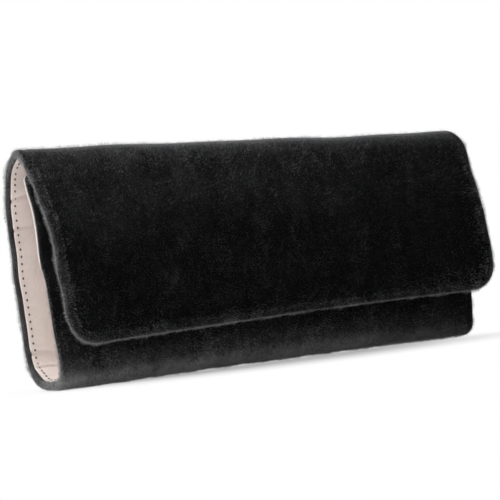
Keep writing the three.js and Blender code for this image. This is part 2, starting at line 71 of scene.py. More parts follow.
# Section of the outer skin in millimetres and degrees, from the front's free edge round to the flap's
THICKNESS = 4.6
FRONT_CORNER_RADIUS = 8.0
BACK_CORNER_RADIUS = 14.5
BACK_LENGTH = 77.0
TOP_RADIUS = 17.0
FLAP_LENGTH = 73.0
FRONT_HEADINGS = (251, 269)
BASE_HEADING = 360
BACK_HEADINGS = (438, 456)
RIDGE_HEADING = 532
FLAP_HEADINGS = (608, 636)

# Panel edges and cloth
FLAP_CORNER = 15.0
FRONT_CORNER = 3.0
FRONT_TOP = -5.5
FLAP_DROP = 2.1
EDGE_RADIUS = 1.95
EDGE_WRAP = math.radians(175)
LINING_EDGE_RADIUS = 0.5
LINING_EDGE_WRAP = math.radians(150)
PILE_ROOM = 0.5
CLOTH_STEP = 1.5
LINING_STEP = 0.8
STITCH_PITCH = 3.2
STITCH_INSET = 3.8

# Stiffeners and foam, under the velvet
BOARD_INSET = 1.7
BOARD = 1.5
BOARD_MARGIN = 2.2

# Zip pocket on the back lining, with levels above the lining
POCKET_HALF = 103.0
POCKET_FOOT = 6.0
POCKET_TOP = 53.3
POCKET_BACK_INSET = 1.0
POCKET_BACK_LEVEL = 0.6
ZIP_HEIGHT = 58.5
TAPE_WIDTH = 8.5
TAPE_SPLIT = 0.8
TAPE_INSET = 0.5
TAPE_LEVEL = 0.9
TAPE_ROOM = 0.3
CLOTH_LEVEL = 2.2
TRIM_FOOT = 63.7

# Slip pocket and ring bar on the front lining
SLIP_HALF = 101.5
SLIP_FOOT = 5.0
SLIP_HEIGHT = 24.0
SLIP_LEVEL = 1.3
RING_BAR_TO_POCKET = 12.0
RING_BAR_HALF = 53.0
RING_BAR_RADIUS = 5.5

# Photograph's camera, in millimetres, with the focal length in pixels of its frame
CAMERA_PLACE = (-437.66, -644.6, 28.9)
CAMERA_RIGHT = (0.8299, -0.5477, -0.1065)
CAMERA_UP = (0.0722, -0.0837, 0.9939)
CAMERA_FORWARD = (0.5533, 0.8325, 0.0299)
FOCAL_PIXELS = 1700
FRAME_PIXELS = 500
SENSOR = 36.0


def joint_place(name):
    """Y and Z of a fold's axis, in millimetres."""
    joint = next(j for j in frame["joints"] if j["name"] == name)
    return np.array(joint["pos_m"][1:]) / MM


HALF_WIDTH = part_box("body_cover")[1][0] / MM
FRONT_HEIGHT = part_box("front_cover")[1][2] / MM


class Skin:
    """The outer skin as a line in the YZ plane, by its length from the front's free edge."""

    def __init__(self, stretches, anchor_name, anchor):
        self.names = [name for name, *_ in stretches]
        headings = np.radians([(a, b) for _, a, b, _ in stretches])
        self.heading = headings[:, 0]
        self.turn = headings[:, 1] - headings[:, 0]
        self.length = np.array([length for *_, length in stretches])
        self.start = np.concatenate([[0], np.cumsum(self.length)[:-1]])
        self.total = self.length.sum()
        self.point = np.zeros((2, len(stretches)))
        for index in range(1, len(stretches)):
            self.point[:, index] = self.along(index - 1, self.length[index - 1])[:2]
        self.point += (anchor - self.point[:, self.names.index(anchor_name)])[:, None]

    def along(self, index, distance):
        """Y, Z and heading some way along a stretch."""
        start = self.heading[index]
        heading = start + self.turn[index] * distance / self.length[index]
        middle = (heading + start) / 2
        chord = distance * np.sinc((heading - start) / 2 / np.pi)
        y, z = self.point[:, index]
        return y + chord * np.cos(middle), z + chord * np.sin(middle), heading

    def at(self, s):
        """Y, Z and heading at lengths s along the skin."""
        index = np.maximum(np.searchsorted(self.start, s, side="right") - 1, 0)
        return self.along(index, s - self.start[index])

    def of(self, name):
        """Length along the skin at which a stretch starts."""
        return self.start[self.names.index(name)]


def bent(name, radius, start, end):
    """A stretch of the skin round a radius, between two headings."""
    return name, start, end, radius * math.radians(end - start)


def folded_skin():
    """The section, with the front's and the base's lengths taken from the solids."""
    front_fold, top_fold = joint_place("front_fold"), joint_place("top_fold")

    def stretches(front, base):
        return [
            ("front", *FRONT_HEADINGS, front),
            bent("front_corner", FRONT_CORNER_RADIUS, FRONT_HEADINGS[1], BASE_HEADING),
            ("base", BASE_HEADING, BASE_HEADING, base),
            bent("back_corner", BACK_CORNER_RADIUS, BASE_HEADING, BACK_HEADINGS[0]),
            ("back", *BACK_HEADINGS, BACK_LENGTH),
            bent("top_rear", TOP_RADIUS, BACK_HEADINGS[1], RIDGE_HEADING),
            bent("top_front", TOP_RADIUS, RIDGE_HEADING, FLAP_HEADINGS[0]),
            ("flap", *FLAP_HEADINGS, FLAP_LENGTH),
        ]

    trial = Skin(stretches(1, 1), "front_corner", front_fold)
    base = 1 + top_fold[0] - trial.at(trial.of("top_rear"))[0]
    front = (FRONT_HEIGHT - front_fold[1]) / (trial.at(0)[1] - front_fold[1])
    return Skin(stretches(front, base), "front_corner", front_fold)


SKIN = folded_skin()
FRONT_FOLD = SKIN.of("front_corner")
BASE_START = SKIN.of("base")
BASE_END = SKIN.of("back_corner")
BACK_START = SKIN.of("back")
TOP_FOLD = SKIN.of("top_rear")
RIDGE = SKIN.of("top_front")
FLAP_FOLD = SKIN.of("flap")
FLAP_TIP = SKIN.total
UNDER = (BASE_START + BASE_END) / 2
REAR_MIDDLE = (TOP_FOLD + RIDGE) / 2
FRONT_MIDDLE = (RIDGE + FLAP_FOLD) / 2
SLIP_MOUTH = FRONT_FOLD - SLIP_FOOT - SLIP_HEIGHT
RING_BAR_PLACE = SLIP_MOUTH - RING_BAR_TO_POCKET

# How the soft case departs from the straight section: tables by length along the skin, in millimetres or shares
LEFT_ENDS = (
    (0, -116.2), (FRONT_FOLD - 62, -116.9), (FRONT_FOLD - 45, -118.6), (FRONT_FOLD - 22, -118.2),
    (FRONT_FOLD, -117.3), (BASE_START, -118.0), (BACK_START, -118.9), (BACK_START + 25, -118.8),
    (TOP_FOLD - 5, -119.1), (RIDGE, -119.8), (FLAP_FOLD, -119.8), (FLAP_FOLD + 15, -119.2),
    (FLAP_FOLD + 35, -118.0), (FLAP_TIP, -116.0))
RIGHT_ENDS = (
    (0, 113.5), (FRONT_FOLD - 20, 113.2), (FRONT_FOLD - 8, 111.6), (FRONT_FOLD, 110.5), (BASE_START, 110.5),
    (BASE_END, 112.5), (BACK_START + 20, 116.8), (TOP_FOLD, 116.8), (RIDGE, 116.9), (FLAP_FOLD - 2, 117.4),
    (FLAP_FOLD + 12, 116.4), (FLAP_FOLD + 28, 116.3), (FLAP_FOLD + 45, 117.4), (FLAP_TIP, 119.3))
LEFT_PULL = (
    (0, 2.5), (FRONT_FOLD - 40, 1.6), (FRONT_FOLD, 1.0), (BASE_END, 0), (RIDGE - 4, 0), (FLAP_FOLD - 3, 4.6),
    (FLAP_FOLD + 12, 3.2), (FLAP_FOLD + 28, 0.8), (FLAP_TIP, 0))
LEFT_LIFT = ((TOP_FOLD, 0), (RIDGE, 1.0), (FLAP_FOLD, 0))
BULGES = (
    (0, 0.22), (FRONT_FOLD - 12, 0.22), (FRONT_FOLD, 0.1), (BACK_START, 0.04), (TOP_FOLD - 20, 0.05),
    (TOP_FOLD + 5, 0.25), (FLAP_FOLD, 0.3), (FLAP_TIP, 0.3))
ARCHED = ((FRONT_FOLD, 1), (BASE_START, 0.7), (BASE_END, 0.5), (BACK_START, 0), (TOP_FOLD, 0), (RIDGE, 1))

# The flap's slant, the left end's pull, the base's arch, the right end's curl and the ends' waver, with where they
# start or end and their runs
FLAP_SKEW = 2.3 / FLAP_LENGTH
PULL_ACROSS = (-35.0, 82.0)
BASE_ARCH = 2.6
ARCH_TOP = 22.0
ARCH_RIGHT = 125.0
ARCH_HEIGHT = (45.0, 40.0)
CURL = 4.0
CURL_ACROSS = (72.0, 40.0)
CURL_ALONG = (0.0, 30.0, BASE_END, 14.0)
WAVER = 0.22
WAVER_ACROSS = (95.0, 22.0)
WAVER_LINE = 60.0


def smooth(t):
    t = np.clip(t, 0, 1)
    return t * t * (3 - 2 * t)


def ramp_up(t, start, run):
    """Rises smoothly from 0 at the start to 1 after a run."""
    return smooth((t - start) / run)


def ramp_down(t, end, run):
    """Falls smoothly from 1 to 0 at the end, over a run."""
    return smooth((end - t) / run)


def between(t, start, run_in, end, run_out):
    return ramp_up(t, start, run_in) * ramp_down(t, end, run_out)


def table(rows, t):
    knots, values = zip(*rows)
    return np.interp(t, knots, values)


def waves(seed, count, shortest, longest):
    """A sum of plane waves over the cloth, of unit size, as a function of x and s."""
    draw = np.random.default_rng(seed)
    length = np.exp(draw.uniform(np.log(shortest), np.log(longest), count))
    angle = draw.uniform(0, 2 * np.pi, count)
    phase = draw.uniform(0, 2 * np.pi, count)
    across, along = 2 * np.pi / length * np.cos(angle), 2 * np.pi / length * np.sin(angle)

    def value(x, s):
        total = np.zeros(np.broadcast(x, s).shape)
        for a, b, c in zip(across, along, phase):
            total += np.sin(a * x + b * s + c)
        return total / math.sqrt(count / 2)

    return value


BROAD_WAVES = waves(seed=11, count=14, shortest=45, longest=120)
EDGE_WAVES = waves(seed=12, count=10, shortest=12, longest=60)
NAP_WAVES = waves(seed=13, count=24, shortest=9, longest=60)


def placed(x, s, inset):
    """Points in metres of cloth at x across and s along the skin, some way in from it."""
    x, s, inset = np.broadcast_arrays(np.asarray(x, float), np.asarray(s, float), np.asarray(inset, float))
    s = s - np.maximum(s - FLAP_FOLD, 0) * FLAP_SKEW * x / HALF_WIDTH
    y, z, heading = SKIN.at(s)
    left, right = table(LEFT_ENDS, s), table(RIGHT_ENDS, s)
    share = (x + HALF_WIDTH) / (2 * HALF_WIDTH)
    near_end = ramp_up(np.abs(x), *WAVER_ACROSS) * np.sign(x)
    wide = left + share * (right - left) + near_end * WAVER * EDGE_WAVES(np.sign(x) * WAVER_LINE, s)
    low = ramp_down(z, *ARCH_HEIGHT) * table(ARCHED, s)
    pull = ramp_down(x, *PULL_ACROSS)
    y = y + pull * table(LEFT_PULL, s)
    y = y + CURL * ramp_up(x, *CURL_ACROSS) * between(s, *CURL_ALONG)
    z = z + pull * table(LEFT_LIFT, s)
    arch = (x - ARCH_TOP) / np.where(x < ARCH_TOP, HALF_WIDTH + ARCH_TOP, ARCH_RIGHT)
    z = z + BASE_ARCH * (1 - arch ** 2) * low
    depth = inset - table(BULGES, s) * BROAD_WAVES(x, s)
    return np.stack([wide, y - depth * np.sin(heading), z + depth * np.cos(heading)], -1) * MM


def add_object(name, data):
    added = bpy.data.objects.new(name, data)
    bpy.context.scene.collection.objects.link(added)
    return added


def new_object(name, points, faces):
    """A smooth mesh object from an array of points and one of faces with as many corners each."""
    points, faces = np.asarray(points, np.float32), np.asarray(faces, np.int32)
    count, corners = faces.shape
    data = bpy.data.meshes.new(name)
    data.vertices.add(len(points))
    data.vertices.foreach_set("co", points.ravel())
    data.loops.add(count * corners)
    data.loops.foreach_set("vertex_index", faces.ravel())
    data.polygons.add(count)
    data.polygons.foreach_set("loop_start", np.arange(0, count * corners, corners, dtype=np.int32))
    data.polygons.foreach_set("use_smooth", np.ones(count, bool))
    data.update(calc_edges=True)
    data.validate()
    return add_object(name, data)


def lay_out(piece, flat):
    """Keeps each point's place on the flat cut as a UV map, in metres."""
    layer = piece.data.uv_layers.new(name="cut")
    corners = np.zeros(len(piece.data.loops), np.int32)
    piece.data.loops.foreach_get("vertex_index", corners)
    layer.data.foreach_set("uv", (np.asarray(flat)[corners] * MM).astype(np.float32).ravel())


def spaced(low, high, step):
    return np.linspace(low, high, max(2, int(round((high - low) / step)) + 1))


def grid_faces(rows, columns):
    index = np.arange(rows * columns).reshape(rows, columns)
    return np.stack([index[:-1, :-1], index[:-1, 1:], index[1:, 1:], index[1:, :-1]], -1).reshape(-1, 4)


def unit(vectors):
    return vectors / np.maximum(np.linalg.norm(vectors, axis=-1, keepdims=True), 1e-12)


# How cuts are divided at their edges, and how far in from those they lie flat
CORNER_ROOM = 0.3
TURN_STEP = 0.3
FLAT_FROM = 5.0
SPREAD_RUN = 4.0


class Cut:
    """A panel of cloth between two lengths of the skin, with its ends and its free edges turned over.

    Pattern points are x across and v along; v runs from the fold to a free edge at the start or the end, and from
    the middle where both are free. A side of 1 turns the edges in from the skin, and -1 turns them out to it.
    """

    def __init__(self, start, end, free, half, corner, edge, wrap, level, side, lift=None, spread=None):
        self.start, self.end, self.free, self.level, self.side = start, end, free, level, side
        self.lift, self.spread = lift, spread
        self.edge, self.hem = edge, edge * wrap
        self.reach = (end - start) / (2 if free == "both" else 1)
        self.half, self.corner = half, max(corner, edge + CORNER_ROOM)
        self.flipped = (side == 1) != (free == "start")

    def length_at(self, v):
        if self.free == "start":
            return self.end - v
        if self.free == "both":
            return (self.start + self.end) / 2 + v
        return self.start + v

    def grid(self, step):
        """Pattern lines across and along the cut, closer together in the turned edges."""
        turned = spaced(0, self.hem, self.edge * TURN_STEP)[1:]
        core = self.half - self.edge
        across = np.concatenate([-core - turned[::-1], spaced(-core, core, step), core + turned])
        reach = self.reach - self.edge
        if self.free == "both":
            along = np.concatenate([-reach - turned[::-1], spaced(-reach, reach, step), reach + turned])
        elif self.free:
            along = np.concatenate([spaced(0, reach, step), reach + turned])
        else:
            along = spaced(0, self.reach, step)
        return np.meshgrid(across, along)

    def folded(self, x, v):
        """Where pattern points go: x, s, inset, and how far in from the cut's edge they are."""
        x, v = np.array(x, float), np.array(v, float)
        core, reach, corner = self.half - self.edge, self.reach - self.edge, self.corner - self.edge
        side_x, side_v = np.sign(x), np.sign(v) if self.free == "both" else np.ones_like(v)
        far_x, far_v = np.abs(x), np.abs(v)
        if self.free:
            square = corner + self.hem
            a = np.clip((far_x - (core + self.hem - square)) / square, -1, 1)
            b = np.clip((far_v - (reach + self.hem - square)) / square, -1, 1)
            both = (a > 0) & (b > 0)
            round_a, round_b = a * np.sqrt(1 - b * b / 2), b * np.sqrt(1 - a * a / 2)
            far_x = np.where(both, core + self.hem + square * (round_a - 1), far_x)
            far_v = np.where(both, reach + self.hem + square * (round_b - 1), far_v)
        out_x = far_x - (core - corner)
        out_v = far_v - (reach - corner) if self.free else np.full_like(far_v, -1e3)
        past_x, past_v = np.maximum(out_x, 0), np.maximum(out_v, 0)
        far = np.hypot(past_x, past_v)
        inner = np.minimum(np.maximum(out_x, out_v), 0) + far - corner
        turn = np.maximum(far - corner, 0)
        angle = turn / self.edge
        back = (self.edge * np.sin(angle) - turn) / np.maximum(far, 1e-9)
        x, v = side_x * (far_x + past_x * back), side_v * (far_v + past_v * back)
        s, depth = self.length_at(v), self.edge * (1 - np.cos(angle))
        inset = self.level + self.side * depth
        away = self.edge - inner
        if self.spread is not None:
            x = x + side_x * self.spread(s) * ramp_down(away, FLAT_FROM, SPREAD_RUN)
        if self.lift is not None:
            inset = inset + self.lift(x, s, away)
        return x, s, inset, away

    def points(self, x, v):
        return placed(*self.folded(x, v)[:3])

    def on_face(self, x, v):
        """Points of the cut where it lies flat, away from its turned edges."""
        s = self.length_at(np.asarray(v, float))
        lift = 0 if self.lift is None else self.lift(x, s, np.full_like(s, FLAT_FROM))
        return placed(x, s, self.level + lift)

    def sheet(self, name, step=CLOTH_STEP):
        x, v = self.grid(step)
        faces = grid_faces(*x.shape)
        if self.flipped:
            faces = faces[:, ::-1]
        piece = new_object(name, self.points(x, v).reshape(-1, 3), faces)
        lay_out(piece, np.stack([x.ravel(), self.length_at(v).ravel()], -1))
        return piece

    def facing(self, across, along):
        """The direction that the cloth's face looks in."""
        facing = unit(np.cross(across, along))
        return -facing if self.flipped else facing

    def directions(self, x, v, step=0.15):
        """Points, directions across and along the cloth, and the direction that its face looks in."""
        across = unit(self.points(x + step, v) - self.points(x - step, v))
        along = unit(self.points(x, v + step) - self.points(x, v - step))
        return self.points(x, v), across, along, self.facing(across, along)

    def sewn(self, path, step=0.2):
        """Places, run directions and facings of stitches on the cut's face."""
        x, v = path.T
        place = self.on_face(x, v)
        across = unit(self.on_face(x + step, v) - place)
        along = unit(self.on_face(x, v + step) - place)
        return place, unit(np.gradient(place, axis=0)), self.facing(across, along)

    def flat(self, step=1.0):
        """Width and length of the cut in metres, the length measured along its own middle line."""
        turned = self.hem - self.edge
        ends = {"both": 2, "": 0}.get(self.free, 1)
        v = spaced(-self.reach if self.free == "both" else 0, self.reach, step)
        line = self.on_face(np.zeros_like(v), v)
        length = np.linalg.norm(np.diff(line, axis=0), axis=1).sum()
        return 2 * (self.half + turned) * MM, float(length) + ends * turned * MM

    def rim(self, inside, step, least_bend=0.6, bend_points=7):
        """Pattern points along the ends and free edges, some way in from them."""
        half, reach, corner = self.half - inside, self.reach - inside, max(self.corner - inside, least_bend)
        if not self.free:
            v = np.arange(step / 2, self.reach, step)
            return [np.stack([np.full_like(v, sign * half), v], -1) for sign in (-1, 1)]
        bottom = -reach + corner if self.free == "both" else 0
        turn = np.linspace(0, np.pi / 2, bend_points)
        bend = np.stack([half - corner + corner * np.cos(turn), reach - corner + corner * np.sin(turn)], -1)
        path = np.concatenate([[(half, bottom)], bend, bend[::-1] * (-1, 1), [(-half, bottom)]])
        if self.free == "both":
            path = np.concatenate([path, bend * (-1, -1), bend[::-1] * (1, -1), path[:1]])
        run = np.concatenate([[0], np.cumsum(np.hypot(*np.diff(path, axis=0).T))])
        marks = np.arange(step / 2, run[-1], step)
        return [np.stack([np.interp(marks, run, line) for line in path.T], -1)]


# The nap's way over the cloth in radians, the shares of a blade's length, and the lowest that a tip may come
NAP_WAY = 2.7
TUFT_RANGE = (0.55, 1.7)
BLADE_RANGE = (0.7, 1.2)
LOWEST_TIP = 0.02


def pile(cut, name, seed, density, length, width, lean, keep, way_swirl=0.8, way_spread=0.45, lean_swirl=0.3,
         lean_spread=0.13, tuft=0.3, tuft_scale=2.4):
    """Blades of pile standing on a cut: single thin triangles that lean along the nap.

    keep gives the share of blades to keep from how far across, along and in from the edge they stand.
    """
    draw = np.random.default_rng(seed)
    (left, right), (low, high) = ((lines.min(), lines.max()) for lines in cut.grid(CLOTH_STEP))
    count = int(density * (right - left) * (high - low))
    x, v = draw.uniform(left, right, count), draw.uniform(low, high, count)
    across, s, _, away = cut.folded(x, v)
    kept = keep(across, s, away) > draw.uniform(0, 1, count)
    x, v = x[kept], v[kept]
    root, across, along, facing = cut.directions(x, v)
    if cut.free == "start":
        along = -along
    s = cut.length_at(v)
    way = NAP_WAY + way_swirl * NAP_WAVES(x, s) + draw.normal(0, way_spread, len(x))
    tilt = lean * (1 + lean_swirl * NAP_WAVES(s, x)) + draw.normal(0, lean_spread, len(x))
    flow = across * np.cos(way)[:, None] + along * np.sin(way)[:, None]
    rise = facing * np.cos(tilt)[:, None] + flow * np.sin(tilt)[:, None]
    breadth = unit(np.cross(rise, draw.normal(0, 1, rise.shape))) * width / 2 * MM
    tufts = np.clip(1 + tuft * NAP_WAVES(x * tuft_scale, s * tuft_scale), *TUFT_RANGE)
    tip = root + rise * (length * tufts * draw.uniform(*BLADE_RANGE, len(x)))[:, None] * MM
    tip[:, 2] = np.maximum(tip[:, 2], LOWEST_TIP * MM)
    points = np.stack([root - breadth, root + breadth, tip], 1).reshape(-1, 3)
    return new_object(name, points, np.arange(len(points)).reshape(-1, 3))


# A stitch is a bead of thread, with rings at places along its half length and shares of its radius
BEAD_SIDES = 6
BEAD_RINGS = ((-1.0, 0.02), (-0.75, 0.7), (0.0, 1.0), (0.75, 0.7), (1.0, 0.02))
BEAD_HEIGHT = 0.8


def stitches(name, paths, length, radius):
    """Sewn stitches as small beads of thread; each path gives places, run directions and facings."""
    place, run, facing = (np.concatenate(rows)[:, None, None] for rows in zip(*paths))
    turn = (np.arange(BEAD_SIDES) * 2 * np.pi / BEAD_SIDES)[:, None]
    ring = np.cos(turn) * np.cross(facing, run) + BEAD_HEIGHT * np.sin(turn) * facing
    t, r = np.array(BEAD_RINGS).T[:, :, None, None]
    points = place + run * t * length / 2 * MM + ring * r * radius * MM
    index = np.arange(points[..., 0].size).reshape(points.shape[:-1])
    after = np.roll(index, -1, axis=2)
    faces = np.stack([index[:, :-1], after[:, :-1], after[:, 1:], index[:, 1:]], -1)
    return new_object(name, points.reshape(-1, 3), faces.reshape(-1, 4))


# Materials
def new_material(name):
    material = bpy.data.materials.new(name)
    material.use_nodes = True
    tree = material.node_tree
    return material, tree, tree.nodes["Principled BSDF"]


def put(tree, socket, value):
    """Sets an input to a value, or links it to another node's output."""
    if isinstance(value, bpy.types.NodeSocket):
        tree.links.new(value, socket)
    else:
        socket.default_value = value


def feed(tree, node, **sockets):
    for key, value in sockets.items():
        put(tree, node.inputs[key.replace("_", " ")], value)


def add_node(tree, kind, **sockets):
    node = tree.nodes.new(kind)
    feed(tree, node, **sockets)
    return node


def cut_map(tree):
    node = tree.nodes.new("ShaderNodeUVMap")
    node.uv_map = "cut"
    return node.outputs["UV"]


def object_map(tree):
    return tree.nodes.new("ShaderNodeTexCoord").outputs["Object"]


def stretched(tree, vector, scale):
    return add_node(tree, "ShaderNodeMapping", Vector=vector, Scale=scale).outputs["Vector"]


def noise_of(tree, vector, scale, detail=3.0, roughness=0.55):
    node = add_node(tree, "ShaderNodeTexNoise", Vector=vector, Scale=scale, Detail=detail, Roughness=roughness)
    return node.outputs["Fac"]


def ramp_of(tree, factor, *stops):
    node = add_node(tree, "ShaderNodeValToRGB", Fac=factor)
    while len(node.color_ramp.elements) < len(stops):
        node.color_ramp.elements.new(0.5)
    for element, (place, colour) in zip(node.color_ramp.elements, stops):
        element.position = place
        element.color = (*colour, 1)
    return node.outputs["Color"]


def share_ramp(tree, factor, rows, reach):
    """A grey ramp from a table of places, up to a reach, and shares."""
    return ramp_of(tree, factor, *((place / reach, (share,) * 3) for place, share in rows))


def math_of(tree, operation, *values):
    node = tree.nodes.new("ShaderNodeMath")
    node.operation = operation
    for socket, value in zip(node.inputs, values):
        put(tree, socket, value)
    return node.outputs[0]


def blend_of(tree, *weighted):
    """Weighted sum of factors."""
    total = None
    for factor, weight in weighted:
        part = math_of(tree, "MULTIPLY", factor, weight)
        total = part if total is None else math_of(tree, "ADD", total, part)
    return total


def bump_of(tree, height, strength, distance):
    return add_node(tree, "ShaderNodeBump", Height=height, Strength=strength, Distance=distance).outputs["Normal"]


# How far a paler ground shows where the skin bends and at its ends: partly the nap opening there, partly painted
# sheen
OPENED_NAP_SHEEN = (
    (0, 0), (FRONT_FOLD - 24, 0.02), (FRONT_FOLD - 6, 0.05), (FRONT_FOLD + 1, 0.2), (FRONT_FOLD + 6, 1.0),
    (BASE_END, 0.5), (BACK_START + 6, 0), (TOP_FOLD - 6, 0), (RIDGE, 0.2), (FLAP_FOLD, 0.08),
    (FLAP_FOLD + 34, 0), (FLAP_TIP - 5, 0), (FLAP_TIP, 0.08))
END_SHEEN = ((HALF_WIDTH - 5, 0), (HALF_WIDTH - 1.5, 0.08), (HALF_WIDTH + 1, 0.32))
LIT_ENDS = ((0, 0.1), (FRONT_FOLD - 14, 0.1), (FRONT_FOLD, 1.0))
CLOSED_TONES = (
    (0.38, (0.0007, 0.0007, 0.0008)), (0.5, (0.0020, 0.0020, 0.0022)), (0.64, (0.0055, 0.0056, 0.0060)))
# Paler ground tones: partly the opened nap, partly painted sheen
OPENED_SHEEN_TONES = ((0.38, (0.02, 0.02, 0.021)), (0.64, (0.24, 0.24, 0.245)))


def velvet_material():
    """Black velvet; paler ground at bends and ends is opened nap and painted sheen, fading right as painted shade.
    """
    material, tree, shader = new_material("black_velvet")
    cut = cut_map(tree)
    nap = noise_of(tree, stretched(tree, cut, (1.0, 0.7, 1.0)), scale=75.0, detail=4.0, roughness=0.6)
    tufts = noise_of(tree, cut, scale=330.0, detail=3.0, roughness=0.6)
    grain = noise_of(tree, cut, scale=1300.0, detail=2.0, roughness=0.6)
    tone = blend_of(tree, (nap, 0.5), (tufts, 0.3), (grain, 0.2))
    closed = ramp_of(tree, tone, *CLOSED_TONES)
    opened_sheen = ramp_of(tree, tone, *OPENED_SHEEN_TONES)
    split = add_node(tree, "ShaderNodeSeparateXYZ", Vector=cut)
    along = math_of(tree, "DIVIDE", split.outputs["Y"], FLAP_TIP * MM)
    bends = share_ramp(tree, along, OPENED_NAP_SHEEN, FLAP_TIP)
    reach = END_SHEEN[-1][0]
    across = math_of(tree, "DIVIDE", math_of(tree, "ABSOLUTE", split.outputs["X"]), reach * MM)
    ends = share_ramp(tree, across, END_SHEEN, reach)
    # Painted shade: the paler ground fades towards the right, away from the lamps
    right = add_node(tree, "ShaderNodeMapRange", Value=split.outputs["X"], From_Min=-0.01, From_Max=0.11,
                     To_Min=1.0, To_Max=0.35)
    lit = share_ramp(tree, along, LIT_ENDS, FLAP_TIP)
    shown = math_of(tree, "MAXIMUM", math_of(tree, "MULTIPLY", bends, right.outputs["Result"]),
                    math_of(tree, "MULTIPLY", ends, lit))
    mix = tree.nodes.new("ShaderNodeMix")
    mix.data_type = "RGBA"
    feed(tree, mix, Factor=shown, A=closed, B=opened_sheen)
    relief = blend_of(tree, (tufts, 0.6), (grain, 0.4))
    feed(tree, shader, Base_Color=mix.outputs["Result"], Roughness=0.95, Specular_IOR_Level=0.04,
         Sheen_Weight=0.72, Sheen_Roughness=0.3, Sheen_Tint=(0.85, 0.87, 0.9, 1),
         Normal=bump_of(tree, relief, strength=0.45, distance=0.001))
    return material


def pile_material(name, colour):
    material, tree, shader = new_material(name)
    feed(tree, shader, Base_Color=(*colour, 1), Roughness=0.6, Specular_IOR_Level=0.25)
    return material


def lining_material():
    """Brushed lining cloth: faint clouds and short fibres."""
    material, tree, shader = new_material("blush_lining")
    cut = cut_map(tree)
    cloud = noise_of(tree, cut, scale=90.0, detail=4.0)
    fibre = noise_of(tree, stretched(tree, cut, (1.0, 0.35, 1.0)), scale=1700.0, detail=2.0)
    tone = blend_of(tree, (cloud, 0.6), (fibre, 0.4))
    colour = ramp_of(tree, tone, (0.34, (0.75, 0.66, 0.615)), (0.66, (0.86, 0.765, 0.72)))
    feed(tree, shader, Base_Color=colour, Roughness=0.92, Specular_IOR_Level=0.12, Sheen_Weight=0.12,
         Sheen_Roughness=0.5, Normal=bump_of(tree, fibre, strength=0.3, distance=0.0003))
    return material


def tape_material():
    """Woven zip tape with slanted ribs."""
    material, tree, shader = new_material("zip_tape")
    wave = add_node(tree, "ShaderNodeTexWave", Vector=cut_map(tree), Scale=420.0, Distortion=1.2, Detail=1.0)
    wave.bands_direction = "DIAGONAL"
    rib = wave.outputs["Fac"]
    colour = ramp_of(tree, rib, (0.1, (0.50, 0.36, 0.32)), (0.9, (0.68, 0.52, 0.47)))
    feed(tree, shader, Base_Color=colour, Roughness=0.8, Specular_IOR_Level=0.2,
         Normal=bump_of(tree, rib, strength=0.4, distance=0.0003))
    return material


def speckled_material(name, dark, pale, scale, roughness, depth):
    """A material with a fine noise in its colour and relief."""
    material, tree, shader = new_material(name)
    speck = noise_of(tree, object_map(tree), scale)
    feed(tree, shader, Base_Color=ramp_of(tree, speck, (0.35, dark), (0.65, pale)), Roughness=roughness,
         Normal=bump_of(tree, speck, strength=0.3, distance=depth))
    return material


def metal_material(name, dark, pale):
    """Polished plated metal with fine handling marks."""
    material, tree, shader = new_material(name)
    place = stretched(tree, object_map(tree), (1.0, 1.0, 2.5))
    marks = noise_of(tree, place, scale=700.0, detail=4.0, roughness=0.65)
    wear = add_node(tree, "ShaderNodeMapRange", Value=marks, To_Min=0.14, To_Max=0.3)
    feed(tree, shader, Base_Color=ramp_of(tree, marks, (0.3, dark), (0.7, pale)), Metallic=1.0,
         Roughness=wear.outputs["Result"], Normal=bump_of(tree, marks, strength=0.04, distance=0.0001))
    return material


VELVET = velvet_material()
NAP = pile_material("velvet_nap", (0.25, 0.25, 0.257))
# Painted sheen: the fringe is the nap's pile in a paler colour, set along the edges and bends
SHEEN_FRINGE = pile_material("velvet_sheen_fringe", (0.34, 0.337, 0.335))
LINING = lining_material()
TAPE = tape_material()
# Dark and pale colours, then the specks' scale per metre, the roughness and the relief in metres
THREAD = speckled_material("black_thread", (0.012, 0.011, 0.011), (0.03, 0.028, 0.027), 2500.0, 0.7, 0.0001)
PINK_THREAD = speckled_material("blush_thread", (0.42, 0.29, 0.25), (0.56, 0.41, 0.36), 2500.0, 0.7, 0.0001)
BOARD_FINISH = speckled_material("grey_board", (0.38, 0.34, 0.29), (0.55, 0.50, 0.44), 900.0, 0.9, 0.0002)
FOAM_FINISH = speckled_material("foam", (0.66, 0.62, 0.55), (0.84, 0.80, 0.73), 1400.0, 1.0, 0.0005)
NYLON = speckled_material("zip_nylon", (0.55, 0.38, 0.33), (0.66, 0.48, 0.43), 900.0, 0.42, 0.00005)
GOLD = metal_material("gold_plate", (0.76, 0.54, 0.24), (0.84, 0.62, 0.31))
STEEL = metal_material("bright_steel", (0.62, 0.62, 0.64), (0.72, 0.72, 0.74))


def dress(piece, material):
    piece.data.materials.append(material)
    return piece


# Lengths of cloth: the bodies before and after the fold, start and end, free edge and its corner, and the bend's
# start and end; and the solids that each length stands for
FRONT_ZONE = 9.0
FOLD_ZONE = 11.0
SEAM_ROOM = 2.0
LENGTHS = {
    "front": ("front", "back", FRONT_TOP, UNDER, "start", FRONT_CORNER,
              FRONT_FOLD - FRONT_ZONE, FRONT_FOLD + FOLD_ZONE),
    "body": ("back", "top_rear", UNDER, REAR_MIDDLE, "", 0,
             TOP_FOLD - FOLD_ZONE, REAR_MIDDLE - SEAM_ROOM),
    "ridge": ("top_rear", "top_front", REAR_MIDDLE, FRONT_MIDDLE, "", 0,
              REAR_MIDDLE + SEAM_ROOM, FRONT_MIDDLE - SEAM_ROOM),
    "flap": ("top_front", "flap", FRONT_MIDDLE, FLAP_TIP + FLAP_DROP, "end", FLAP_CORNER,
             FRONT_MIDDLE + SEAM_ROOM, FLAP_FOLD + FOLD_ZONE),
}
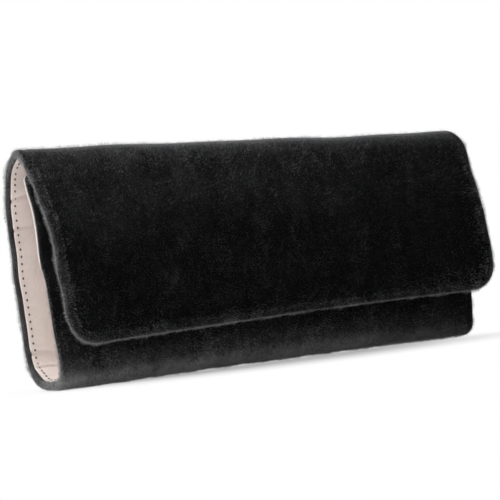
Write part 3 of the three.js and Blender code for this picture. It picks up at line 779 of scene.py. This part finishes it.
SOLIDS = {"front": ("front",), "body": ("body",), "ridge": ("top_rear", "top_front"), "flap": ("flap",)}


def middle_place(s):
    """The point in metres half-way through the case's thickness."""
    y, z, heading = SKIN.at(s)
    inset = THICKNESS / 2
    return 0, float(y - inset * np.sin(heading)) * MM, float(z + inset * np.cos(heading)) * MM


def bend(piece, length):
    """Bakes a piece's place into its mesh; the middle places at its length's bend are worked out but not used."""
    before, after, *_, low, high = LENGTHS[length]
    middle_place(low)
    middle_place(high)
    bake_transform(piece)


def cut_of(length, margin, edge, wrap, level, side, lift, spread=None):
    _, _, start, end, free, corner, *_ = LENGTHS[length]
    start = start + (margin if free == "start" else 0)
    end = end - (margin if free == "end" else 0)
    return Cut(start, end, free, HALF_WIDTH - margin, corner - margin, edge, wrap, level, side, lift, spread)


# Stiffeners and foam; boards stop short of the bends, and the top's foam lies curved over the ridge under its
# velvet
SLAB_EDGE = 0.3
SLAB_STEP = 4.0
BEND_ROOM = FOLD_ZONE + 1.5
FOAM_REACH = 4.5
FOAM_SPLIT = 0.5
SLABS = (
    ("front_stiffener", "front_board", "front", BOARD_MARGIN, FRONT_FOLD - BEND_ROOM, "start", FRONT_CORNER),
    ("back_stiffener", "back_board", "back", BACK_START, TOP_FOLD - BEND_ROOM, "", 0),
    ("flap_stiffener", "flap_board", "flap", FLAP_FOLD + BEND_ROOM, FLAP_TIP - BOARD_MARGIN, "end", FLAP_CORNER),
    ("base_padding", "base_foam", "back", FRONT_FOLD + BEND_ROOM, BACK_START, "", 0),
    ("top_rear_padding", "top_rear_foam", None, REAR_MIDDLE - FOAM_REACH, RIDGE - FOAM_SPLIT, "", 0),
    ("top_front_padding", "top_front_foam", None, RIDGE + FOAM_SPLIT, FRONT_MIDDLE + FOAM_REACH, "", 0),
)


def slab(name, start, end, free, corner):
    """A closed slab between the velvet and the lining."""
    cut = Cut(start, end, free, HALF_WIDTH - BOARD_MARGIN, corner - BOARD_MARGIN, SLAB_EDGE, math.pi / 2, 0, 1)
    x, v = cut.grid(SLAB_STEP)
    rows, columns = x.shape
    x, s, _, _ = cut.folded(x, v)
    levels = (BOARD_INSET, BOARD_INSET + BOARD)
    points = np.concatenate([placed(x, s, inset).reshape(-1, 3) for inset in levels])
    faces = grid_faces(rows, columns)
    count = rows * columns
    index = np.arange(count).reshape(rows, columns)
    ring = np.concatenate([index[0, :-1], index[:-1, -1], index[-1, :0:-1], index[:0:-1, 0]])
    after = np.roll(ring, -1)
    walls = np.stack([after, ring, ring + count, after + count], -1)
    return new_object(name, points, np.concatenate([faces, faces[:, ::-1] + count, walls]))


for name, node, body, start, end, free, corner in SLABS:
    piece = slab(name, start, end, free, corner)
    soft = name.endswith("padding")
    dress(piece, FOAM_FINISH if soft else BOARD_FINISH)
    if body:
        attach(piece, body)
    else:
        bend(piece, "ridge")
    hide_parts(node)


# Velvet, drawn in along its topstitching
TOPSTITCH = 4.2


def velvet_lift(x, s, away, depth=0.4, width=0.7):
    return depth * np.exp(-((away - TOPSTITCH) / width) ** 2)


# Tables across the pouch: the share of pile kept, fewer to the right as painted shade; how the paler pile at
# the bends, partly painted sheen, thins towards the ends and the right; and where the flap's rim of painted sheen
# lies, in from its edge
SHADED_PILE_ACROSS = ((-110, 1.0), (-50, 0.8), (10, 0.78), (110, 0.25))
BEND_SHEEN_ACROSS = ((-115, 0.65), (-50, 1.0), (10, 1.0), (110, 0.3))
SHEEN_RIM_TURNS = ((-110, -1.6), (-95, -1.1), (95, -1.1), (110, 0.25))

# Paler pile at a bend, partly opened nap and partly painted sheen: start, run in, end and run out along the skin
OPENED_TOP_SHEEN = (TOP_FOLD - 6, 14, FLAP_FOLD + 30, 38)
OPENED_HEM_SHEEN = (FRONT_FOLD + 1, 5, BASE_END, 10)
OPENED_BASE_SHEEN = (FRONT_FOLD - 9, 16, BASE_END + 6, 16)
OPENED_SHEEN_FROM = 40

# Where the painted shade on the front under the flap, as thinned pile, ends and where the front's lower half
# starts, with their runs; and where paler pile, painted sheen, stands on the turned ends, in from the edge
SHADED_UNDER_FLAP = (FRONT_FOLD - 14, 14)
LOWER_FRONT = (FRONT_FOLD - 52, 16)
END_ZONE = (-3.4, 0.8, 0.9, 1.2)

# Painted sheen as paler pile inward of the flap's edge: its share, reach and patchiness, with what the right part
# adds to each
RIGHT_PART = (60, 45)
SHEEN_TAIL = ((0.5, 0.35), (1.9, 1.4), (0.35, -0.25))


def full_pile(x, s, away, shade=0.9, edge=1.5, turn=-2.6):
    """Pile all over the face and round its edges, thinned as painted shade towards the right and under the flap.
    """
    at_edge = ramp_down(away, edge, edge) * ramp_up(s, *LOWER_FRONT)
    outside_shade = 1 - shade * ramp_down(s, *SHADED_UNDER_FLAP) * (1 - at_edge)
    return table(SHADED_PILE_ACROSS, x) * outside_shade * (away > turn)


def opened_sheen_pile(s, top=0.06, hem=0.3, base=0.55, front=0.1):
    """Share of paler pile at the bends of the skin: partly the nap opening there, partly painted sheen."""
    start, run_in, end, run_out = OPENED_BASE_SHEEN
    under = (front + (1 - front) * ramp_up(s, start, run_in)) * ramp_down(s, end, run_out) * (s > OPENED_SHEEN_FROM)
    return np.maximum(top * between(s, *OPENED_TOP_SHEEN), base * under + hem * between(s, *OPENED_HEM_SHEEN))


def end_sheen_pile(s, away, all_along=0.12, lower=0.23, below=0.65, run=12):
    """Paler pile on the ends as painted sheen: some all along, more on the front's lower half, most from its fold
    on.
    """
    shown = all_along + lower * ramp_up(s, *LOWER_FRONT) + below * ramp_up(s, FRONT_FOLD - run, run)
    return between(away, *END_ZONE) * shown


def rim_sheen_pile(x, s, away, width=0.8, ragged=0.35, scale=2.5, share=0.62, patches=0.3, least=0.15):
    """Painted sheen along the flap's edge as paler pile: a ragged line with thinner patches."""
    waver = ragged * EDGE_WAVES(x * scale, s * scale)
    line = np.exp(-((away - table(SHEEN_RIM_TURNS, x) - waver) / width) ** 2)
    return line * np.clip(share + patches * NAP_WAVES(x, s), least, 1)


def tail_sheen_pile(x, s, away, level=0.85, least=0.2, most=1.4, scale=1.4, turn=-1.5):
    """Painted sheen: paler pile that dies out inward of the flap's edge, in patches."""
    right = ramp_up(x, *RIGHT_PART)
    share, reach, patches = (base + more * right for base, more in SHEEN_TAIL)
    tail = share * np.exp(-np.maximum(away, 0) / reach) * (away > turn)
    return tail * np.clip(level + patches * NAP_WAVES(x * scale, s * scale), least, most)


def stitch_highlight_pile(away, share=0.14, outward=0.9, width=0.45):
    """A faint painted highlight of paler pile just outside the topstitching."""
    return share * np.exp(-((away - TOPSTITCH + outward) / width) ** 2)


def lit_pile(x, s, away, turn=-1):
    """Painted sheen as paler pile round the ends and along the flap's outer edge, and less at the bends, partly
    opened nap.
    """
    on_flap = ramp_up(s, FRONT_MIDDLE, FLAP_FOLD - FRONT_MIDDLE)
    ends = end_sheen_pile(s, away)
    edge = ends + on_flap * (rim_sheen_pile(x, s, away) - ends)
    inward = on_flap * (tail_sheen_pile(x, s, away) + stitch_highlight_pile(away))
    bends = table(BEND_SHEEN_ACROSS, x) * opened_sheen_pile(s) * (away > turn)
    return np.maximum(np.maximum(edge, inward), bends)


# Density in blades per square millimetre
NAP_PILE = {"density": 6.25, "length": 1.1, "width": 0.018, "lean": 0.3, "keep": full_pile}
FRINGE_PILE = {"density": 22.0, "length": 1.2, "width": 0.06, "lean": 0.25, "keep": lit_pile}
NAP_SEED = 20
FRINGE_SEED = 40

for order, length in enumerate(LENGTHS):
    cut = cut_of(length, PILE_ROOM, EDGE_RADIUS, EDGE_WRAP, PILE_ROOM, 1, velvet_lift)
    skin = dress(cut.sheet(f"{length}_velvet"), VELVET)
    nap = dress(pile(cut, f"{length}_nap", NAP_SEED + order, **NAP_PILE), NAP)
    fringe = dress(pile(cut, f"{length}_fringe", FRINGE_SEED + order, **FRINGE_PILE), SHEEN_FRINGE)
    for piece in (skin, nap, fringe):
        bend(piece, length)
    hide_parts(*(f"{solid}_cover" for solid in SOLIDS[length]))
    cut.flat()


# Lining: how far each length stops short of the ends, and where the front's draws in to the body's margin
LINING_MARGINS = {"front": 0.4, "body": 1.9, "ridge": 1.9, "flap": 1.4}
FRONT_LIP = (FRONT_FOLD - 54, 22)
FLAP_LIP_END = FLAP_FOLD + 1
LINING_STITCH = {"length": 1.1, "radius": 0.42}

# The base's corners that the lining spans: middle, reach and rise; and its creases by the left end: place, slant,
# depth, width and reach
CORNER_FILL = (((FRONT_FOLD + BASE_START) / 2, 8.0, 2.0), ((BASE_END + BACK_START) / 2, 11.0, 1.6))
CREASES = (
    (TOP_FOLD - 5.0, 0.10, 0.9, 0.9, 22.0), (TOP_FOLD - 17.5, -0.03, 0.45, 0.8, 24.0),
    (BACK_START + 5.5, -0.25, 0.9, 1.0, 20.0), (BACK_START - 2.0, -0.2, 0.8, 0.9, 20.0))


def lip(s):
    """How far the lining's ends stand out past their margin, so that one length of it meets the next."""
    under = ramp_up(s, *FRONT_LIP) * (s < UNDER)
    over = ramp_down(s, FLAP_LIP_END, FLAP_LIP_END - FRONT_MIDDLE) * (s > FRONT_MIDDLE)
    margin = LINING_MARGINS
    return under * (margin["front"] - margin["body"]) + over * (margin["flap"] - margin["ridge"])


def lining_lift(x, s, away, waver=0.4, rate=0.5, fading=1.6):
    """The lining spans the base's corners, and is creased near its left end."""
    lift = np.zeros_like(s)
    for middle, reach, rise in CORNER_FILL:
        lift += rise * smooth(1 - np.abs(s - middle) / reach)
    from_end = x + HALF_WIDTH
    for middle, slant, depth, width, reach in CREASES:
        off = s - middle - slant * from_end + waver * np.sin(from_end * rate)
        fade = smooth((reach - from_end) / reach * fading)
        lift += fade * depth * (np.exp(-((off - width) / width) ** 2) - np.exp(-(off / width) ** 2))
    return lift


for length, margin in LINING_MARGINS.items():
    cut = cut_of(length, margin, LINING_EDGE_RADIUS, LINING_EDGE_WRAP, THICKNESS, -1, lining_lift, lip)
    cloth = dress(cut.sheet(f"{length}_lining_cloth", LINING_STEP), LINING)
    rows = [cut.sewn(path) for path in cut.rim(STITCH_INSET - margin, STITCH_PITCH)]
    thread = dress(stitches(f"{length}_lining_stitches", rows, **LINING_STITCH), THREAD)
    for piece in (cloth, thread):
        bend(piece, length)
    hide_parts(*(f"{solid}_lining" for solid in SOLIDS[length]))
    cut.flat()


# Patches sewn on the lining: name, node, body, start, end, half width, level, edge radius, rise, material, slot,
# and how far in the seam runs
ZIP_PLACE = BACK_START + ZIP_HEIGHT
PATCHES = (
    ("zip_pocket_back", "pocket_back", "back", BACK_START + POCKET_FOOT + POCKET_BACK_INSET,
     ZIP_PLACE - TAPE_WIDTH - TAPE_ROOM, POCKET_HALF - POCKET_BACK_INSET, POCKET_BACK_LEVEL, 0.3, 0.0,
     LINING, "lining", None),
    ("zip_pocket", "pocket_front", "back", BACK_START + POCKET_FOOT, BACK_START + POCKET_TOP,
     POCKET_HALF, CLOTH_LEVEL, 1.0, 0.5, LINING, "lining", 2.2),
    ("zip_facing", "zip_trim", "back", BACK_START + TRIM_FOOT, ZIP_PLACE + TAPE_WIDTH,
     POCKET_HALF, CLOTH_LEVEL, 0.8, 0.0, LINING, "lining", 1.5),
    ("zip_lower_tape", "zip_tape_lower", "back", ZIP_PLACE - TAPE_WIDTH, ZIP_PLACE - TAPE_SPLIT / 2,
     POCKET_HALF - TAPE_INSET, TAPE_LEVEL, 0.3, 0.0, TAPE, "zip_cloth", None),
    ("zip_upper_tape", "zip_tape_upper", "back", ZIP_PLACE + TAPE_SPLIT / 2, ZIP_PLACE + TAPE_WIDTH,
     POCKET_HALF - TAPE_INSET, TAPE_LEVEL, 0.3, 0.0, TAPE, "zip_cloth", None),
    ("front_slip_pocket", "slip_pocket", "front", SLIP_MOUTH, SLIP_MOUTH + SLIP_HEIGHT,
     SLIP_HALF, SLIP_LEVEL, 0.6, 0.6, LINING, "lining", 2.2),
)
PATCH_CORNER = 0.6
PATCH_STITCH_PITCH = 2.6
PATCH_STITCH = {"length": 1.5, "radius": 0.22}


def puffed(start, end, half, rise, flatness=4, fullness=0.7, waver=0.12, scale=0.3):
    """A lift that rounds a pocket up between its sewn sides."""
    def lift(x, s, away):
        along = np.clip((s - start) / (end - start), 0, 1)
        crown = rise * (1 - (x / half) ** flatness) * np.sin(np.pi * along) ** fullness
        return crown + waver * NAP_WAVES(x * scale, s * scale)
    return lift


patches = {}
for name, node, body, start, end, half, level, edge, rise, material, slot, seam in PATCHES:
    lift = puffed(start, end, half, rise) if rise else None
    cut = Cut(start, end, "both", half, edge + PATCH_CORNER, edge, LINING_EDGE_WRAP, THICKNESS + level, -1, lift)
    pieces = [dress(cut.sheet(name), material)]
    if seam:
        rows = [cut.sewn(path) for path in cut.rim(seam, PATCH_STITCH_PITCH)]
        pieces.append(dress(stitches(f"{name}_stitches", rows, **PATCH_STITCH), PINK_THREAD))
    for piece in pieces:
        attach(piece, body)
    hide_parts(node)
    patches[name] = cut, pieces


def declare_patch(name, *others):
    """Works out a patch's flat size; its stitches and the patches sewn to it are gathered but not used."""
    cut, (piece, *sewn) = patches[name]
    for other in others:
        sewn += patches[other][1]
    cut.flat()


declare_patch("zip_pocket_back")
declare_patch("zip_pocket", "zip_facing", "zip_lower_tape", "zip_upper_tape")
declare_patch("front_slip_pocket")

# Tabs of the ring bar and its anchor, by their ends along x and their level
TAB_LAP = 9.0
SEWN_TAB = (-55.7, -RING_BAR_HALF + TAB_LAP, 0.8)
SNAP_TAB = (RING_BAR_HALF - TAB_LAP, 68.0, 3.2)
ANCHOR_TAB = (-68.3, -56.3, 0.8)


def on_front(points):
    """Points of the ring bar's own frame, x along, y down the panel and z into the pouch, in metres."""
    y, z, heading = SKIN.at(RING_BAR_PLACE)
    y, z = y - THICKNESS * math.sin(heading), z + THICKNESS * math.cos(heading)
    down = np.array([0, math.cos(heading), math.sin(heading)])
    into = np.array([0, -math.sin(heading), math.cos(heading)])
    return (points[:, :1] * (1, 0, 0) + points[:, 1:2] * down + points[:, 2:] * into + (0, y, z)) * MM


def tube_faces(rings, sides):
    """Point numbers of a tube's rings, and the faces between them."""
    index = np.arange(rings * sides).reshape(rings, sides)
    after = np.roll(index, -1, axis=1)
    return index, np.stack([index[:-1], index[1:], after[1:], after[:-1]], -1).reshape(-1, 4)


def stuffed_tube(rings=121, sides=48, end=1.15, tip=0.02, gap=0.3, gathers=9, gather=0.05, gather_reach=6,
                 lump=0.02, seam=0.5, seam_width=0.12, seam_place=np.pi * 1.5):
    """A stuffed roll gathered at its ends, with a seam along its underside."""
    turn = np.arange(sides) * 2 * np.pi / sides
    t, a = np.meshgrid(np.linspace(-1, 1, rings), turn, indexing="ij")
    from_end = (1 - np.abs(t)) * RING_BAR_HALF
    ends = np.clip(from_end / (RING_BAR_RADIUS * end), 0, 1)
    radius = RING_BAR_RADIUS * np.sqrt(np.clip(1 - (1 - ends) ** 2, 0, 1)) + tip
    gathered = np.exp(-(from_end / gather_reach) ** 2) * (1 + np.cos(gathers * a + np.sign(t))) * ends
    lumps = 1 + np.sin(t * 17 + 2 * np.sin(a)) * np.cos(a * 2 + t * 5)
    radius = radius * (1 - gather * gathered) * (1 - lump * lumps)
    radius = radius - seam * np.exp(-((a - seam_place) / seam_width) ** 2) * ends
    level = gap + RING_BAR_RADIUS
    points = np.stack([t * RING_BAR_HALF, radius * np.cos(a), level + radius * np.sin(a)], -1)
    flat = np.stack([t * RING_BAR_HALF, RING_BAR_RADIUS * a], -1)
    return points.reshape(-1, 3), tube_faces(rings, sides)[1], flat.reshape(-1, 2)


def strap(low, high, level, half=4.5, thickness=1.0, sides=28, square=0.25, crown=0.7, near=0.2, far=0.6,
          end=0.9):
    """A flat tab with rounded edges, as a closed mesh."""
    turn = np.arange(sides) * 2 * np.pi / sides
    wide = np.sign(np.cos(turn)) * np.abs(np.cos(turn)) ** square * half
    thick = np.sign(np.sin(turn)) * np.abs(np.sin(turn)) ** crown * thickness / 2
    x = np.concatenate([[low, low + near], spaced(low + far, high - far, 1.0), [high - near, high]])
    narrow = np.ones((len(x), 1))
    narrow[[0, -1]] = end
    points = np.stack([np.repeat(x[:, None], sides, 1), wide * narrow, level + thick * narrow], -1)
    index, faces = tube_faces(len(x), sides)
    caps = [(row[k + one], row[k + two], row[-k - two - 1], row[-k - one - 1])
            for row, one, two in ((index[0], 1, 0), (index[-1], 0, 1)) for k in range(sides // 2 - 1)]
    return points.reshape(-1, 3), np.concatenate([faces, caps]), points[..., :2].reshape(-1, 2)


def joined(name, *parts):
    """One piece of lining cloth from parts that each have points, faces and flat places."""
    starts = np.cumsum([0] + [len(points) for points, *_ in parts])
    faces = np.concatenate([faces + start for (_, faces, _), start in zip(parts, starts)])
    piece = new_object(name, on_front(np.concatenate([points for points, *_ in parts])), faces)
    lay_out(piece, np.concatenate([flat for *_, flat in parts]))
    return dress(piece, LINING)


roll = joined("ring_roll", stuffed_tube(), strap(*SEWN_TAB), strap(*SNAP_TAB))
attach(roll, "ring")
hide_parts("ring_bar")
anchor = joined("ring_anchor_tab", strap(*ANCHOR_TAB))
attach(anchor, "front")
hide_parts("ring_anchor")

# Solids that stay, by their slots: the zip's teeth; its stops, slider and pull, and the snap; and the magnets
FINISHES = {"zip_teeth": NYLON, "gold": GOLD, "steel": STEEL}
for row in frame["record"]["subparts"]:
    if row["material_slot"] in FINISHES:
        solid = bpy.data.objects[row["node"]]
        solid.data.materials.clear()
        solid.data.materials.append(FINISHES[row["material_slot"]])

# Stage, in metres and watts; the floor keeps the shadow under the pouch and fades to white round it
CLIP_START = 0.01
FLOOR_HALF = 8.0
SHADOW_SHAPE = (0.5, 1.0, 1.0)
SHADOW_FADE = {"From_Min": 0.02, "From_Max": 0.085, "To_Min": 0.4}
WORLD_LIGHT = 0.1

# Softboxes: name, place, target, size and power
LAMPS = (
    ("key", (-0.3, -0.28, 0.14), (-0.08, 0, 0.04), 0.22, 0.42),
    ("top", (-0.31, 0.0, 0.32), (-0.08, 0, 0.08), 0.25, 1.05),
    ("back", (-0.2, 0.5, 0.22), (0, 0, 0.05), 0.35, 1.7),
    ("rim", (0.5, 0.3, 0.16), (0.1, 0, 0.05), 0.3, 0.4),
)


def make_camera():
    data = bpy.data.cameras.new("camera")
    data.sensor_width = SENSOR
    data.lens = FOCAL_PIXELS * SENSOR / FRAME_PIXELS
    data.clip_start = CLIP_START
    camera = add_object("camera", data)
    right, up, forward = (Vector(v).normalized() for v in (CAMERA_RIGHT, CAMERA_UP, CAMERA_FORWARD))
    turn = Matrix((right, up, -forward)).transposed()
    camera.matrix_world = Matrix.Translation(Vector(CAMERA_PLACE) * MM) @ turn.to_4x4()
    bpy.context.scene.camera = camera


def direct_rays(tree):
    """1 for rays that show the stage itself: from the camera, mirrored or passed through."""
    path = tree.nodes.new("ShaderNodeLightPath")
    glossy = math_of(tree, "MAXIMUM", path.outputs["Is Glossy Ray"], path.outputs["Is Transmission Ray"])
    return math_of(tree, "MAXIMUM", path.outputs["Is Camera Ray"], glossy)


def mix_shaders(tree, factor, first, second, output):
    """Gives a tree's output two shaders, mixed by a factor."""
    mix = add_node(tree, "ShaderNodeMixShader", Fac=factor)
    tree.links.new(first, mix.inputs[1])
    tree.links.new(second, mix.inputs[2])
    tree.links.new(mix.outputs["Shader"], tree.nodes[output].inputs["Surface"])


def make_floor():
    corners = np.array([(-1, -1, 0), (1, -1, 0), (1, 1, 0), (-1, 1, 0)]) * FLOOR_HALF
    floor = new_object("floor", corners, [(0, 1, 2, 3)])
    material, tree, shader = new_material("pale_floor")
    feed(tree, shader, Base_Color=(0.9, 0.9, 0.9, 1), Roughness=1.0, Specular_IOR_Level=0.0)
    place = tree.nodes.new("ShaderNodeNewGeometry")
    length = tree.nodes.new("ShaderNodeVectorMath")
    length.operation = "LENGTH"
    tree.links.new(stretched(tree, place.outputs["Position"], SHADOW_SHAPE), length.inputs[0])
    far = add_node(tree, "ShaderNodeMapRange", Value=length.outputs["Value"], **SHADOW_FADE)
    far.interpolation_type = "SMOOTHSTEP"
    white = add_node(tree, "ShaderNodeEmission", Color=(1, 1, 1, 1), Strength=1.0)
    shown = math_of(tree, "MULTIPLY", far.outputs["Result"], direct_rays(tree))
    mix_shaders(tree, shown, shader.outputs["BSDF"], white.outputs["Emission"], "Material Output")
    floor.data.materials.append(material)


def make_world():
    """A white world to look at, which lights the pouch only a little."""
    world = bpy.data.worlds.new("studio")
    bpy.context.scene.world = world
    world.use_nodes = True
    tree = world.node_tree
    light = tree.nodes["Background"]
    feed(tree, light, Strength=WORLD_LIGHT, Color=(1, 1, 1, 1))
    seen = add_node(tree, "ShaderNodeBackground", Color=(1, 1, 1, 1), Strength=1.0)
    mix_shaders(tree, direct_rays(tree), light.outputs["Background"], seen.outputs["Background"], "World Output")


def softbox(name, place, target, size, power):
    data = bpy.data.lights.new(name, "AREA")
    data.shape = "RECTANGLE"
    data.size, data.size_y = size, size
    data.energy = power
    lamp = add_object(name, data)
    lamp.location = place
    lamp.rotation_euler = (Vector(target) - Vector(place)).to_track_quat("-Z", "Y").to_euler()


make_camera()
make_floor()
make_world()
for lamp in LAMPS:
    softbox(*lamp)
bpy.context.scene.view_settings.view_transform = "Standard"
